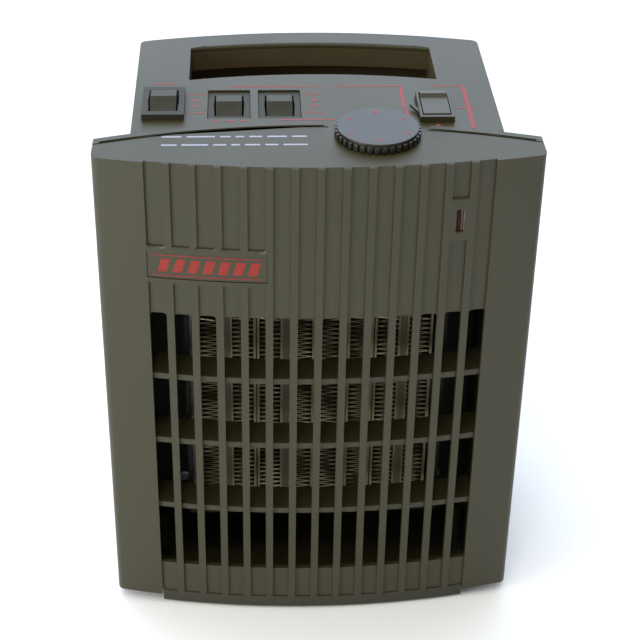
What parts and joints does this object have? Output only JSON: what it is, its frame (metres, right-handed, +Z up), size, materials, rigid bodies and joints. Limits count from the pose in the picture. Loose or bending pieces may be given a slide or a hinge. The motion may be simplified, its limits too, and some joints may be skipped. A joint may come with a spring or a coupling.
{
  "type": "ceramic space heater",
  "caption": "Upright ceramic fan heater with a bowed slotted front, finger pocket handle, rocker keys and a thermostat dial in the top face.",
  "frame": {"origin": "centre of the footprint on the floor, under the feet", "axes": "+X to the right seen from the front, -Y out of the front grille, +Z up"},
  "size_m": [0.205, 0.1508, 0.2665],
  "materials": {
    "cover_plastic": "fine textured moulding",
    "housing_plastic": "fine textured moulding",
    "dark_plastic": "matt moulding",
    "lens": "clear moulding",
    "neon_glass": "clear glass",
    "filter_foam": "open foam",
    "foot_rubber": "matt",
    "dark_steel": "blackened",
    "steel": "zinc plated",
    "steel_sheet": "rolled sheet",
    "mica": "matt insulator",
    "ptc_ceramic": "matt brown",
    "aluminium_sheet": "rolled sheet",
    "aluminium_fin": "rolled foil",
    "brass_tab": "stamped",
    "white_ceramic": "matt",
    "lamination_steel": "stacked sheet edges",
    "cream_plastic": "moulded",
    "copper_winding": "enamelled wire",
    "die_cast": "die cast",
    "bronze": "sintered",
    "rotor_alloy": "turned",
    "shaft_steel": "ground",
    "gland_rubber": "matt",
    "wire_insulation": "smooth"
  },
  "bodies": {
    "heater": {"front_cover": "cover_plastic", "badge_plate": "cover_plastic", "lamp_lens": "lens", "pilot_lamp": "neon_glass", "housing": "housing_plastic", "control_panel": "housing_plastic", "handle_liner": "dark_plastic", "rear_grille": "housing_plastic", "dust_filter": "filter_foam", "base_plate": "dark_plastic", "feet": "foot_rubber", "cover_screws": "dark_steel", "base_screws": "steel", "handle_screws": "dark_steel", "air_duct": "dark_plastic", "duct_screws": "steel", "fan_bulkhead": "dark_plastic", "heater_frame": "steel_sheet", "ptc_end_caps": "mica", "ptc_strips": "ptc_ceramic", "ptc_plates": "aluminium_sheet", "ptc_fins": "aluminium_fin", "ptc_springs": "steel_sheet", "ptc_tabs": "brass_tab", "thermal_cutout": "white_ceramic", "thermal_fuse": "white_ceramic", "motor_core": "lamination_steel", "motor_bobbin": "cream_plastic", "motor_coil": "copper_winding", "front_bridge": "die_cast", "rear_bridge": "die_cast", "motor_bearings": "bronze", "motor_screws": "steel", "thermostat_body": "white_ceramic", "thermostat_nut": "brass_tab", "switch_housing_1": "housing_plastic", "switch_housing_2": "housing_plastic", "switch_housing_3": "housing_plastic", "switch_housing_4": "housing_plastic", "switch_tabs": "brass_tab", "mains_gland": "gland_rubber", "terminal_block": "cream_plastic", "wiring": "wire_insulation"},
    "fan_rotor": {"impeller": "cream_plastic", "impeller_clip": "steel", "rotor": "rotor_alloy", "motor_shaft": "shaft_steel"},
    "thermostat_dial": {"dial": "cover_plastic", "dial_spindle": "shaft_steel"},
    "key_1": {"rocker_1": "cover_plastic"},
    "key_2": {"rocker_2": "cover_plastic"},
    "key_3": {"rocker_3": "cover_plastic"},
    "key_4": {"rocker_4": "cover_plastic"}
  },
  "joints": [
    {"name": "fan_spin", "type": "hinge", "parent": "heater", "child": "fan_rotor", "pos_m": [0, 0.0021, 0.111], "axis": [0, -1, 0], "continuous": true},
    {"name": "dial_turn", "type": "hinge", "parent": "heater", "child": "thermostat_dial", "pos_m": [0.0271, -0.043, 0.2617], "axis": [0, 0, 1], "range_deg": [-150, 150]},
    {"name": "key_1_rock", "type": "hinge", "parent": "heater", "child": "key_1", "pos_m": [-0.0717, -0.0114, 0.2607], "axis": [1, 0, 0], "range_deg": [-14, 0]},
    {"name": "key_2_rock", "type": "hinge", "parent": "heater", "child": "key_2", "pos_m": [-0.041, -0.0092, 0.2567], "axis": [1, 0, 0], "range_deg": [-14, 0]},
    {"name": "key_3_rock", "type": "hinge", "parent": "heater", "child": "key_3", "pos_m": [-0.0171, -0.0092, 0.2567], "axis": [1, 0, 0], "range_deg": [-14, 0]},
    {"name": "key_4_rock", "type": "hinge", "parent": "heater", "child": "key_4", "pos_m": [0.056, -0.0157, 0.2607], "axis": [1, 0, 0], "range_deg": [-14, 0]}
  ]
}
